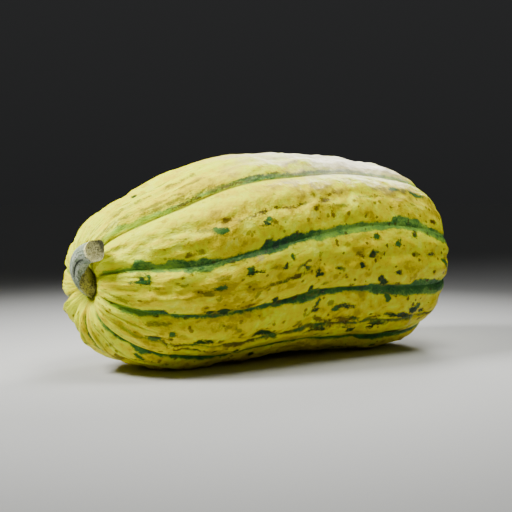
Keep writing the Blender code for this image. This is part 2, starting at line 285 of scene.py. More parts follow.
# Marks of the best side. Each has its millimetres along the skin, its ribs round from the top groove, its
# length and height in millimetres, and the degrees by which its blossom end drops.
MARKS = (
    # Top rib, pale and nearly bare
    (39, 0.42, 12, 0.7, -4, OLIVE), (62, 0.425, 8, 0.7, 0, OLIVE), (33, 0.38, 2.5, 2.5, 0, HAZE),
    (53, 0.835, 9, 1, 0, OLIVE), (59, 0.95, 6, 0.9, -5, BROWN), (61.3, 0.87, 0.8, 2.8, 0, OLIVE),
    (62.3, 0.935, 3, 0.8, 25, BROWN), (69.5, 0.905, 3.5, 1.8, -15, OLIVE), (75.5, 0.93, 7, 1, 5, BROWN),
    (81.5, 0.95, 3, 0.9, 0, BROWN), (90, 0.905, 10, 0.9, 0, SLATE), (100, 0.92, 9, 1, 3, SLATE),
    (110, 0.94, 8, 0.9, 0, OLIVE), (72, 0.90, 8, 0.6, 4, SLATE), (62, 0.885, 7, 0.5, 6, SLATE),
    (50, 0.855, 10, 0.5, 4, OLIVE), (128, 0.93, 8, 1.2, 0, SLATE), (138.5, 0.925, 6, 1.4, 0, SLATE),
    (147, 0.93, 8, 1.2, 0, HAZE), (44, 0.55, 16, 0.6, 0, TAN), (60, 0.63, 14, 0.6, 2, OLIVE),
    (84, 0.58, 12, 0.7, 0, TAN), (30, 0.70, 10, 0.7, 3, OLIVE), (48, 0.74, 12, 0.8, 0, OLIVE),
    (112, 0.70, 9, 0.7, 0, TAN), (40, 0.20, 14, 0.6, 0, OLIVE),
    # Second rib
    (40, 1.53, 8, 0.7, 8, HAZE), (49.5, 1.60, 2, 0.9, 0, OLIVE), (50.5, 1.41, 2, 0.6, 10, TAN),
    (50.5, 1.83, 2, 1.2, 0, BROWN), (54, 1.83, 3.5, 1, 0, OLIVE), (58.5, 1.545, 5, 0.9, 15, OLIVE),
    (63.5, 1.60, 4, 2.2, 25, GREEN), (66.5, 1.635, 2.2, 1.3, 25, GREEN), (61.5, 1.71, 1.6, 0.9, 0, TAN),
    (69, 1.50, 3.2, 1.2, 0, BROWN), (67.8, 1.465, 1.4, 0.8, 0, BROWN), (75, 1.575, 2.6, 0.9, 0, OLIVE),
    (83.5, 1.535, 7, 1.2, -10, UMBER), (94, 1.53, 4.2, 0.9, 5, UMBER), (99.5, 1.55, 5, 1, -4, UMBER),
    (104, 1.535, 4.2, 0.9, -10, UMBER), (106.5, 1.525, 3, 1.1, -5, OLIVE), (86.4, 1.66, 2, 2.6, 0, GREEN),
    (84.9, 1.715, 3.8, 1.7, 0, DARK), (88.2, 1.71, 2, 0.9, 0, BROWN), (89.5, 1.77, 1.4, 0.7, 20, TAN),
    (111.3, 1.42, 1.3, 1.7, -30, OLIVE), (118, 1.535, 5, 1.1, 0, BROWN), (121.5, 1.445, 4.5, 0.9, -8, BROWN),
    (110, 1.65, 1.5, 1.1, 0, BROWN), (110.5, 1.79, 1.9, 1, 0, BROWN), (118, 1.645, 3, 1.2, 10, OLIVE),
    (123, 1.657, 7, 0.9, 5, OLIVE), (119.7, 1.70, 1.1, 2, 0, OLIVE), (119.5, 1.78, 1.6, 1.8, 0, BROWN),
    (142, 1.555, 13, 0.9, -4, OLIVE), (147.5, 1.53, 3.2, 0.9, -10, BROWN), (148.5, 1.40, 2.6, 1, 0, OLIVE),
    (151.2, 1.38, 2.6, 0.9, 0, OLIVE), (153.6, 1.735, 1.5, 1.1, -20, BROWN), (155, 1.48, 3.2, 0.8, 0, HAZE),
    (160, 1.53, 3.2, 0.9, 0, HAZE), (163.2, 1.53, 2, 0.9, 0, HAZE), (161, 1.375, 4, 1.4, -5, GREEN),
    (165.5, 1.385, 4, 1.3, -10, OLIVE), (168.4, 1.36, 2, 0.8, -20, OLIVE), (174.3, 1.38, 6, 1.6, -3, GREEN),
    (169.5, 1.51, 1.7, 1, 0, TAN), (168, 1.635, 3.6, 1.3, 15, OLIVE), (180.5, 1.86, 2.4, 1.3, 0, BROWN),
    # Third rib
    (24, 2.185, 5, 0.9, -5, HAZE), (32.3, 2.25, 1.8, 2.4, 0, DARK), (34.6, 2.20, 1.8, 4.6, 0, GREEN),
    (32, 2.315, 5, 1.2, 0, GREEN), (31.2, 2.135, 3, 1, -20, OLIVE), (24, 2.79, 5.5, 1.4, 15, OLIVE),
    (37.5, 2.42, 2.2, 1.1, -20, OLIVE), (47.2, 2.20, 1.1, 1.2, 0, BROWN), (47, 2.35, 3.2, 0.9, 15, OLIVE),
    (64, 2.31, 4, 1.1, -12, OLIVE), (62.2, 2.485, 4, 2, 0, GREEN), (58, 2.56, 4, 1.4, 0, OLIVE),
    (55.4, 2.535, 3.2, 0.7, 15, BROWN), (62.5, 2.67, 2.6, 2.2, 0, OLIVE), (79, 2.70, 1.9, 3.2, 10, OLIVE),
    # The brown mark at 77.5 mm along and 2.92 ribs round is painted shade above the stripe below it
    (60, 2.945, 4, 1.9, 5, DARK), (65.5, 2.965, 6, 1.9, 5, DARK), (77.5, 2.92, 4.2, 1.4, 0, BROWN),
    (74.8, 2.26, 2.6, 2.4, 0, GREEN), (76.2, 2.32, 4, 1.5, 0, DARK), (79, 2.335, 2.7, 1.3, 0, DARK),
    (75.5, 2.50, 3.6, 0.8, 5, TAN), (86.5, 2.34, 3.3, 1.1, 10, OLIVE), (91.8, 2.36, 1.6, 2.2, 10, DARK),
    (94.7, 2.245, 1.6, 2, 0, GREEN), (97.6, 2.45, 1.5, 1.7, 0, OLIVE), (99.8, 2.43, 2.3, 1.3, -10, DARK),
    (102.3, 2.51, 2.9, 1.6, 0, DARK), (105.2, 2.485, 2.7, 0.8, -20, OLIVE), (87.5, 2.603, 8, 0.9, 0, UMBER),
    (96, 2.59, 9, 1, -6, UMBER), (101.5, 2.55, 5, 1, -18, UMBER), (84.8, 2.59, 1.5, 1.2, 0, OLIVE),
    (91, 2.61, 2.6, 1, 0, DARK), (108.3, 2.32, 1.5, 2.4, 10, OLIVE), (107.6, 2.60, 1.6, 1.9, 0, DARK),
    (108.5, 2.66, 2.3, 1.6, 0, DARK), (113.5, 2.86, 3, 1.1, 10, OLIVE), (119, 2.62, 2.9, 1.4, 0, DARK),
    (121, 2.655, 2.2, 0.8, 40, OLIVE), (123.7, 2.25, 1.7, 2, 0, TAN), (128.8, 2.42, 1.7, 1, 0, OLIVE),
    (131, 2.37, 1.6, 1.4, 30, OLIVE), (131, 2.46, 1.9, 0.6, 20, BROWN), (137, 2.45, 3.4, 2.8, 0, DARK),
    (139.6, 2.44, 3, 1.5, 0, GREEN), (142.6, 2.465, 3.2, 1.4, 0, TAN), (131.3, 2.64, 2.8, 2.4, 0, DARK),
    (140.5, 2.21, 3.4, 1.8, 0, GREEN), (131, 2.17, 9, 2.2, 4, HAZE), (153, 2.30, 3, 1.9, -15, GREEN),
    (154.6, 2.255, 1.7, 1.1, -30, GREEN), (156, 2.13, 2.6, 0.6, -10, TAN), (163.5, 2.15, 2, 2.2, 0, GREEN),
    (164.3, 2.47, 3.1, 1.2, 0, OLIVE), (172.5, 2.46, 5.2, 1.5, -3, DARK), (153.5, 2.755, 2.8, 1.6, 0, DARK),
    (154.5, 2.94, 2.4, 1.3, 0, BROWN), (128, 2.95, 2, 1, 10, BROWN), (185.5, 2.57, 5, 2, 10, GREEN),
    (187.5, 2.64, 6, 2.4, 10, GREEN), (88.9, 2.94, 2.4, 3.4, 0, DARK), (105.8, 2.93, 1.6, 3, 30, DARK),
    (107.6, 2.985, 4, 2.2, 0, GREEN), (143.8, 2.86, 2.6, 2.6, 0, DARK), (146.5, 2.92, 4.2, 2.8, 30, DARK),
    # Fourth rib
    (40, 3.185, 6, 1.1, -8, OLIVE), (46.3, 3.32, 2.2, 2, 20, GREEN), (40.5, 3.49, 4.8, 1.7, -25, DARK),
    (46.2, 3.445, 1.1, 1.5, 0, BROWN), (51, 3.37, 2.6, 1.2, 0, TAN), (59.8, 3.475, 6, 2.7, 8, DARK),
    (67.3, 3.225, 3, 0.9, 0, OLIVE), (66, 3.17, 1.1, 1.6, 0, HAZE), (73.7, 3.26, 2.4, 1.1, 30, OLIVE),
    (30, 3.555, 14, 0.7, 0, TAN), (39, 3.545, 4, 0.9, 0, DARK), (50, 3.55, 16, 0.7, 0, BROWN),
    (57, 3.55, 5, 1, 0, DARK), (54, 3.64, 7, 0.9, 5, BROWN), (60.5, 3.67, 6, 1, 3, DARK),
    (68.8, 3.485, 2, 1.4, 0, BROWN), (68, 3.70, 2, 2.8, 20, DARK), (79, 3.75, 1.6, 2.8, 20, DARK),
    (77, 3.57, 14, 0.7, 0, BROWN), (86.5, 3.47, 4.5, 1.2, 6, DARK), (91, 3.50, 4, 1.5, 20, DARK),
    (93.8, 3.53, 2.6, 1.1, -25, DARK), (94.6, 3.575, 3, 2.2, 20, GREEN), (98, 3.55, 8, 0.9, 0, BROWN),
    (106, 3.55, 6.5, 1.4, 3, DARK), (112, 3.565, 7, 0.9, 5, BROWN), (118.5, 3.56, 5.5, 1.3, 0, DARK),
    (124, 3.56, 4, 0.8, 0, BROWN), (106.3, 3.315, 2.4, 1.4, 0, OLIVE), (110.6, 3.29, 4.2, 1.5, 5, DARK),
    (103.5, 3.40, 1.7, 1.2, 0, OLIVE), (111.5, 3.20, 1.8, 2.6, 0, GREEN), (114.5, 3.455, 5, 1.3, 25, BROWN),
    (118.6, 3.205, 2.4, 2.2, 0, OLIVE), (122.3, 3.29, 3.2, 2, -20, GREEN), (127.5, 3.26, 7, 1.3, 0, DARK),
    (118, 3.645, 7, 1.3, -5, DARK), (126, 3.485, 6, 1, -5, BROWN), (134, 3.475, 5, 1.1, 12, DARK),
    (131, 3.51, 7, 0.8, 0, BROWN), (132.5, 3.61, 4, 0.9, 0, GREEN), (135.5, 3.67, 2.8, 1.8, 10, DARK),
    (140.5, 3.55, 6, 1.2, 0, DARK), (148, 3.495, 4.5, 1.1, -8, BROWN), (150.5, 3.17, 3.2, 2.8, 0, GREEN),
    (161, 3.475, 12, 2.2, 3, DARK), (169, 3.41, 6, 2.8, 0, DARK), (171, 3.345, 2.6, 2.4, 0, GREEN),
    (175, 3.46, 3.6, 1.3, 15, DARK), (157, 3.575, 24, 0.6, 0, OLIVE), (175, 3.565, 12, 0.7, 0, BROWN),
    (151, 3.62, 7, 1.5, 0, DARK), (148.8, 3.69, 1.8, 2.8, 20, DARK), (107, 3.73, 2, 1.8, 0, BROWN),
    (167, 3.92, 7, 2, 5, DARK),
    # Fifth rib, under the belly's edge
    (27.5, 4.42, 1.2, 3.4, 0, OLIVE), (35, 4.62, 4, 1.5, 0, OLIVE), (93.5, 4.15, 2.4, 2.6, 20, DARK),
)

# Lobes at the edges of each mark, placed and sized as shares of its length and height
LOBES = 2
LOBE_FORWARD = 0.45
LOBE_DOWN = 0.5
LOBE_SIZE = (0.4, 0.75)

# Marks drawn by rule on the hidden sides, past so many ribs round, and the dashes along each rib's middle
DRAWN_FROM = 4.2
DRAWN_MARKS = 26
DRAWN_ALONG = (22, 198)
DRAWN_CROWDING = 0.8
DRAWN_ACROSS = (0.12, 0.92)
DRAWN_LENGTH = (1.4, 5.0)
DRAWN_HEIGHT = (0.9, 2.1)
DRAWN_SIZE = (0.6, 1.2)
DRAWN_DROP = 25
DRAWN_KINDS = (BROWN, OLIVE, OLIVE, GREEN, GREEN, DARK, HAZE, TAN)
DASHES = 9
DASH_ALONG = (30, 190)
DASH_ACROSS = (0.5, 0.58)
DASH_LENGTH = (4, 13)
DASH_HEIGHT = (0.7, 1.2)
DASH_DROP = 4
DASH_KINDS = (BROWN, OLIVE, DARK)

# How many millimetres round it a mark is felt, how sharply one mark's green gives way to the next one's, and
# the slight weight of bare skin
MARK_REACH = 4.0
MARK_SHARPNESS = 3
NO_MARK = 1e-6

# The camera stands low before the stem end, as in the photograph
CAMERA_PLACE = (-0.2655, -0.3415, 0.0668)
CAMERA_AZIMUTH = math.radians(-38)
CAMERA_RISE = math.radians(3.06)
CAMERA_LENS = 70.3
CAMERA_SENSOR = 36

# The room's light at the horizon, and how much more comes from straight above
ROOM_LIGHT = 0.022
CEILING_SHARE = 2.6
FLOOR_REACH = 30.0

# Square soft lights: the name, the place, the side in metres, the watts and the colour
SOFTBOXES = (
    ("overhead_softbox", (0.03, -0.10, 0.44), 0.20, 0.45, "#FEFFFA"),
    ("stem_end_softbox", (-0.34, 0.10, 0.36), 0.14, 1.05, "#FFFFFF"),
    ("back_softbox", (0.34, 0.22, 0.32), 0.18, 0.5, "#FFFFFF"),
)
SOFTBOX_AIM = (0, 0, 0.045)
SOFTBOX_SPREAD = math.radians(80)

BUMP_STRENGTH = 0.8


def smooth_through(points, places):
    """Values at places from 0 to 1 along a smooth curve through evenly spaced points."""
    points = np.asarray(points, float)
    padded = np.concatenate([2 * points[:1] - points[1:2], points, 2 * points[-1:] - points[-2:-1]])
    run = np.clip(places, 0, 1) * (len(points) - 1)
    start = np.minimum(run.astype(int), len(points) - 2)
    part = (run - start).reshape(run.shape + (1,) * (points.ndim - 1))
    before, here, there, after = (padded[start + step] for step in range(4))
    slope = (there - before) / 2
    bend = before - 2.5 * here + 2 * there - after / 2
    turn = (3 * here - 3 * there + after - before) / 2
    return here + part * (slope + part * (bend + part * turn))


def ease(value, low, high):
    """0 below low, 1 above high, and a smooth rise between them."""
    part = np.clip((value - low) / (high - low), 0, 1)
    return part * part * (3 - 2 * part)


def ribs_from(around, place):
    """Ribs round the fruit from a place to each point, negative on the side before it."""
    return (around - place + RIBS / 2) % RIBS - RIBS / 2


def patches(skin, cells, seed):
    """Smooth seeded ups and downs from -1 to 1, in cells of one length and a number to a turn."""
    cell_along, cells_around = cells
    draws = np.random.default_rng(seed)
    heights = draws.uniform(-1, 1, (int(skin.along.max() / cell_along) + 3, cells_around))
    shifts = draws.uniform(0, 1, len(heights))
    place = skin.along / cell_along
    row = np.floor(place).astype(int)
    part = ease(place - row, 0, 1)

    def on_row(number):
        turn = (skin.around / RIBS + shifts[number]) * cells_around
        cell = np.floor(turn).astype(int)
        mix = ease(turn - cell, 0, 1)
        here, there = heights[number, cell % cells_around], heights[number, (cell + 1) % cells_around]
        return here + mix * (there - here)

    return on_row(row) * (1 - part) + on_row(row + 1) * part


def plain_profile(turn):
    """Station, distance along the axis and radius of the plain body, for turns from 0 to pi."""
    along, across = -np.cos(turn), np.sin(turn)
    bluntness = np.where(along < 0, STEM_END_BLUNTNESS, BLOSSOM_END_BLUNTNESS)
    station = np.sign(along) * np.abs(along) ** (2 / bluntness)
    radius = RADIUS * across ** (2 / bluntness) * sum(c * station**n for n, c in enumerate(FULLNESS))
    hollow = HOLLOW_DEPTH * np.exp(-((radius / HOLLOW_RADIUS) ** 2))
    dimple = DIMPLE_DEPTH * np.exp(-((radius / DIMPLE_RADIUS) ** 2))
    return station, LENGTH / 2 * station + np.where(station < 0, hollow, -dimple), radius


def skin_rows(count):
    """The turns of the fruit's rows, closer together at its ends, and their millimetres along."""
    turn = np.linspace(0, math.pi, PLACES)
    station, x, radius = plain_profile(turn)
    steps = np.hypot(np.diff(x), np.diff(radius))
    along = np.concatenate([[0], np.cumsum(steps)]) / MM
    crowding = np.concatenate([[0], np.cumsum(steps / (END_SPACING + radius[1:] / RADIUS))])
    rows = np.interp(np.linspace(0, crowding[-1], count + 2)[1:-1], crowding, turn)
    return rows, np.interp(rows, turn, along)


def centre_line(station):
    """Y and Z of the fruit's bent axis."""
    rise = TAIL_LIFT * station + ARCH_BEND * station**2 + ARCH_RETURN * station**4
    return SIDE_BEND * station**2, rise


def end_point(turn):
    """The point where the axis leaves the fruit: at the stem end for 0, and at the blossom end for pi."""
    station, x, radius = plain_profile(np.array([turn]))
    middle_y, middle_z = centre_line(station)
    return np.array([x[0], middle_y[0], middle_z[0]])


def groove_angles(station):
    """The angle of each groove at each station, one row for each groove, falling from the top."""
    draws = random.Random(SEED)
    place = (station + 1) / 2
    seen = [smooth_through(route, place) for route in GROOVE_ROUTES]
    first, last = seen[0] - 360, seen[-1]
    far = []
    for number in range(1, FAR_GROOVES + 1):
        share = number / (FAR_GROOVES + 1)
        wander = smooth_through([draws.uniform(-FAR_WANDER, FAR_WANDER) for _ in GROOVE_ROUTES[0]], place)
        far.append(last + share * (first - last) + wander)
    return np.radians(np.array(seen + far + [first]))


def rib_relief(rib, across, station, x, radius):
    """Height of the skin over the plain body. Across runs from 0 at one groove to 1 at the next."""
    draws = random.Random(SEED + 1 + rib)
    length = draws.uniform(*LUMP_LENGTH)
    phase = draws.uniform(0, 2 * math.pi)
    off_middle = np.abs(2 * across - 1)
    groove = RIB_DEPTH * (RIB_CROWN - off_middle**RIB_ROUNDNESS)
    crease = CREASE_DEPTH * np.exp(-((off_middle / (2 * CREASE_WIDTH)) ** 2))
    lump = LUMP_HEIGHT * np.sin(2 * math.pi * x / length + phase) * (1 - off_middle**2)
    fading = 1 - (1 - BLOSSOM_RELIEF) * ease(station, 0, 1)
    return (groove - crease + lump) * fading * ease(radius, RELIEF_STARTS, RELIEF_FULL)


class Skin:
    """The fruit's surface on a grid: rows from stem to blossom, and columns round it from the top groove."""

    def __init__(self):
        turn, self.row_along = skin_rows(FRUIT_ROWS)
        station, x, radius = plain_profile(turn)
        even = np.arange(RIBS * COLUMNS_PER_RIB) / COLUMNS_PER_RIB
        around = even - GROOVE_CROWDING * np.sin(2 * math.pi * even) / (2 * math.pi)
        self.along, self.around = np.meshgrid(self.row_along, around, indexing="ij")
        self.rib_width = 2 * math.pi * radius[:, None] / RIBS / MM
        self.radius = radius[:, None]
        self.across = self.around % 1
        self.blossom_half = self.along > self.row_along[-1] / 2
        slope_x, slope_r = np.gradient(x, turn)[:, None], np.gradient(radius, turn)[:, None]
        steep = np.hypot(slope_x, slope_r)
        grooves = groove_angles(station)
        rise = np.zeros(self.along.shape)
        angle = np.zeros(self.along.shape)
        for rib in range(RIBS):
            columns = slice(rib * COLUMNS_PER_RIB, (rib + 1) * COLUMNS_PER_RIB)
            across = self.across[:, columns]
            angle[:, columns] = grooves[rib][:, None] + across * (grooves[rib + 1] - grooves[rib])[:, None]
            rise[:, columns] = rib_relief(rib, across, station[:, None], x[:, None], radius[:, None])
        rise += self.fine_relief()
        middle_y, middle_z = centre_line(station)
        out = self.radius + rise * slope_x / steep
        sideways = x[:, None] - rise * slope_r / steep
        places = [sideways, middle_y[:, None] - out * np.cos(angle), middle_z[:, None] + out * np.sin(angle)]
        self.points = np.stack(places, axis=-1)

    def fine_relief(self):
        """Swellings and puckers of the skin, flat at the ends, and the rim of the blossom scar."""
        sides = ease(np.abs(ribs_from(self.around, 0)), *SWELLING_SIDES)
        share = TOP_SWELLING + (1 - TOP_SWELLING) * sides
        swelling = patches(self, SWELLING_CELLS, SEED + 20) * SWELLING * share
        pucker = patches(self, PUCKER_CELLS, SEED + 21) * PUCKER
        inside = ease(self.radius, RELIEF_STARTS, RELIEF_FULL)
        relief = (swelling + pucker) * inside * np.sqrt(np.sin(math.pi * self.across))
        rim = SCAR_RIM * np.exp(-(((self.radius - SCAR_RADIUS) / SCAR_RIM_WIDTH) ** 2)) * self.blossom_half
        return relief - self.folds() * FOLD_DEPTH + rim

    def furrow(self, place, starts, full, fades, ends):
        """How deep a furrow is at a place round, from 0 to 1, between these millimetres along."""
        off_middle = ribs_from(self.around, place) * self.rib_width
        lasting = ease(self.along, starts, full) * (1 - ease(self.along, fades, ends))
        return np.exp(-((off_middle / FOLD_WIDTH) ** 2)) * lasting

    def folds(self):
        """How deep the folds and creases are, from 0 to 1."""
        draws = random.Random(SEED + 40)
        folds = np.zeros(self.along.shape)
        for rib in range(RIBS):
            for number in range(FOLDS_ON_RIB):
                place = rib + (number + 1) / (FOLDS_ON_RIB + 1) + draws.uniform(-FOLD_STRAY, FOLD_STRAY)
                starts, ends = draws.uniform(*FOLD_STARTS), draws.uniform(*FOLD_ENDS)
                fold = self.furrow(place, starts, starts + FOLD_RISE, FOLD_FADES * ends, ends)
                folds = np.maximum(folds, fold * (SHALLOW_FOLD if rib in SHALLOW_RIBS else 1.0))
        for place, starts, ends, depth in CREASES:
            crease = self.furrow(place, starts, starts + CREASE_RISE, ends - CREASE_FADE, ends)
            folds = np.maximum(folds, crease * depth)
        return folds


def striped(skin):
    """Millimetres inside the nearest stripe's edge, negative outside it, how deep its green is, the share of
    its width from its upper edge, and how much of the ground it covers."""
    inside = np.full(skin.along.shape, -STRIPE_REACH)
    depth = np.zeros(skin.along.shape)
    down = np.zeros(skin.along.shape)
    hidden = map(drawn_stripe, range(len(GROOVE_ROUTES), RIBS))
    for around, *stretches in (*STRIPES, *hidden):
        places, tops, bottoms, depths = np.array(stretches).T
        below = ribs_from(skin.around, around)
        top = np.interp(skin.along, places, tops) / 100
        bottom = np.interp(skin.along, places, bottoms) / 100
        within = np.minimum(below - top, bottom - below) * skin.rib_width
        ends = np.minimum(skin.along - places[0], places[-1] - skin.along)
        within = np.minimum(within, ends)
        nearer = within > inside
        inside[nearer] = within[nearer]
        depth[nearer] = np.interp(skin.along, places, depths)[nearer]
        down[nearer] = np.clip((below - top) / (bottom - top), 0, 1)[nearer]
    cover = ease(depth, 0.0, FULL_STRIPE)
    return {"stripe_inside": inside, "stripe_depth": depth, "stripe_down": down, "stripe_cover": cover}


def drawn_stripe(groove):
    """A stripe of the hidden sides: it widens and thins in steps, as the others do."""
    draws = random.Random(SEED + 100 + groove)
    stretches = [groove, *DRAWN_START]
    place, last = STEPS_BETWEEN
    while place < last:
        top, bottom = -draws.uniform(*STEP_TOP), draws.uniform(*STEP_BOTTOM)
        if draws.random() < TUFT_CHANCE:
            top -= TUFT_HEIGHT
        depth = draws.uniform(*STEP_GREEN)
        length = draws.uniform(*STEP_LENGTH)
        end_top = top + draws.uniform(-STEP_SLANT, STEP_SLANT)
        stretches += [(place, top, bottom, depth), (place + length, end_top, bottom, depth)]
        place += length + draws.uniform(*STEP_GAP)
    return stretches + [*DRAWN_END]


def drawn_marks():
    """Marks for the hidden sides: scattered flecks, and a broken line along the middle of each rib."""
    draws = random.Random(SEED + 200)
    first, last = DRAWN_ALONG
    marks = []
    for rib in range(int(DRAWN_FROM), RIBS):
        for _ in range(DRAWN_MARKS):
            around = rib + draws.uniform(*DRAWN_ACROSS)
            kind = draws.choice(DRAWN_KINDS)
            size = draws.uniform(*DRAWN_SIZE)
            length, height = draws.uniform(*DRAWN_LENGTH) * size, draws.uniform(*DRAWN_HEIGHT) * size
            place = first + (last - first) * draws.random() ** DRAWN_CROWDING
            marks.append((place, around, length, height, draws.uniform(-DRAWN_DROP, DRAWN_DROP), kind))
        for _ in range(DASHES):
            place, around = draws.uniform(*DASH_ALONG), rib + draws.uniform(*DASH_ACROSS)
            length, height = draws.uniform(*DASH_LENGTH), draws.uniform(*DASH_HEIGHT)
            drop = draws.uniform(-DASH_DROP, DASH_DROP)
            marks.append((place, around, length, height, drop, draws.choice(DASH_KINDS)))
    return [mark for mark in marks if mark[1] > DRAWN_FROM]


def lobed(marks):
    """The marks, each with smaller lobes of its own at its edges."""
    draws = random.Random(SEED + 300)
    usual_rib = 2 * math.pi * RADIUS / RIBS / MM
    lobes = []
    for place, around, length, height, drop, kind in marks:
        for _ in range(LOBES):
            forward = draws.uniform(-LOBE_FORWARD, LOBE_FORWARD) * length
            down = draws.uniform(-LOBE_DOWN, LOBE_DOWN) * height / usual_rib
            size = draws.uniform(*LOBE_SIZE)
            lobes.append((place + forward, around + down, length * size, height * size, drop, kind))
    return marks + lobes


def marked(skin):
    """Millimetres inside the nearest mark's edge, negative outside it, its greenness and its strength."""
    inside = np.full(skin.along.shape, -MARK_REACH)
    weights = np.full(skin.along.shape, NO_MARK)
    green = np.zeros(skin.along.shape)
    strength = np.zeros(skin.along.shape)
    for place, around, length, height, drop, (greenness, showing) in lobed([*MARKS, *drawn_marks()]):
        reach = length / 2 + height / 2 + MARK_REACH
        rows = np.flatnonzero(np.abs(skin.row_along - place) < reach)
        nearby = slice(rows[0], rows[-1] + 1)
        forward = skin.along[nearby] - place
        down = ribs_from(skin.around[nearby], around) * skin.rib_width[nearby]
        turn = math.radians(drop)
        lengthwise = forward * math.cos(turn) + down * math.sin(turn)
        sideways = down * math.cos(turn) - forward * math.sin(turn)
        out = np.hypot(lengthwise / (length / 2), sideways / (height / 2))
        within = np.maximum((1 - out) * min(length, height) / 2, -MARK_REACH)
        weight = np.exp(within * MARK_SHARPNESS)
        inside[nearby] = np.maximum(inside[nearby], within)
        weights[nearby] += weight
        green[nearby] += weight * greenness
        strength[nearby] += weight * showing
    strength = np.clip(strength / weights, 0, 1)
    return {"mark_inside": inside, "mark_green": green / weights, "mark_strength": strength}


def grazed(skin):
    """A small healed graze on the best side: 1 in its middle, fading to 0 at its edge."""
    place, around = GRAZE_PLACE
    away = np.hypot(skin.along - place, (skin.around - around) * skin.rib_width)
    return 1 - ease(away, GRAZE_CORE * GRAZE_RADIUS, GRAZE_RADIUS)


def golden_and_shade(skin):
    """How far the ground of the rind turns from cream at 0 to ochre yellow at 1. Part of it is painted light,
    pale on the top, and painted shade, ochre down the sides, under the belly and on each rib's lower side.
    """
    along_patch = (skin.along - RIPE_PLACE[0]) / RIPE_REACH[0]
    round_patch = (skin.around - RIPE_PLACE[1]) / RIPE_REACH[1]
    shares = (
        (0.4, np.exp(-(along_patch**2) - round_patch**2)),
        # Painted light and shade: pale on the top, ochre down the sides and under the belly
        (0.3, ease(np.abs(ribs_from(skin.around, LIT_CROWN)), *LIT_CROWN_SIDES)),
        # Partly painted shade: more ochre on each rib's lower side
        (0.22, 1 - 2 * np.abs(skin.across - SHADED_SHOULDER)),
        (0.3, patches(skin, BROAD_CELLS, SEED + 30)),
        (0.24, patches(skin, SMALL_CELLS, SEED + 31)),
        (-0.35, 1 - ease(skin.along, *YOUNG_END)),
    )
    return np.clip(0.16 + sum(share * field for share, field in shares), -0.2, 1)


def bloom_and_painted_sheen(skin):
    """How thick the pale waxy bloom is, partly a painted sheen where light falls on the top: it shows on the
    top, most of it before the blossom end.
    """
    below_top = (skin.points[..., 2].max() - skin.points[..., 2]) / MM
    left = 1 - BLOOM_AND_SHEEN_LOSS * ease(skin.along, *BLOOM_AND_SHEEN_THINS)
    return (1 - ease(below_top, *BLOOM_AND_SHEEN_BELOW)) * ease(skin.along, *BLOOM_AND_SHEEN_GATHERS) * left


def freckled(skin):
    """How thickly the rind is freckled: most toward the blossom end, and least on the top."""
    least, sideways, onward = FRECKLES
    sides = ease(np.abs(ribs_from(skin.around, 0)), *FRECKLED_SIDES)
    return least + sideways * sides + onward * ease(skin.along, *FRECKLED_ALONG)


def linear(hex_colour):
    """An sRGB hex colour as the linear colour that a shader takes."""
    channels = [int(hex_colour[place:place + 2], 16) / 255 for place in (1, 3, 5)]
    return (*[c / 12.92 if c <= 0.04045 else ((c + 0.055) / 1.055) ** 2.4 for c in channels], 1)


def add(tree, kind, links=(), **settings):
    """Adds a node. Settings are its own; links give an input's name or number and its value or source."""
    node = tree.nodes.new(kind)
    for name, value in settings.items():
        setattr(node, name, value)
    for socket, value in dict(links).items():
        if isinstance(value, bpy.types.NodeSocket):
            tree.links.new(value, node.inputs[socket])
        else:
            node.inputs[socket].default_value = value
    return node


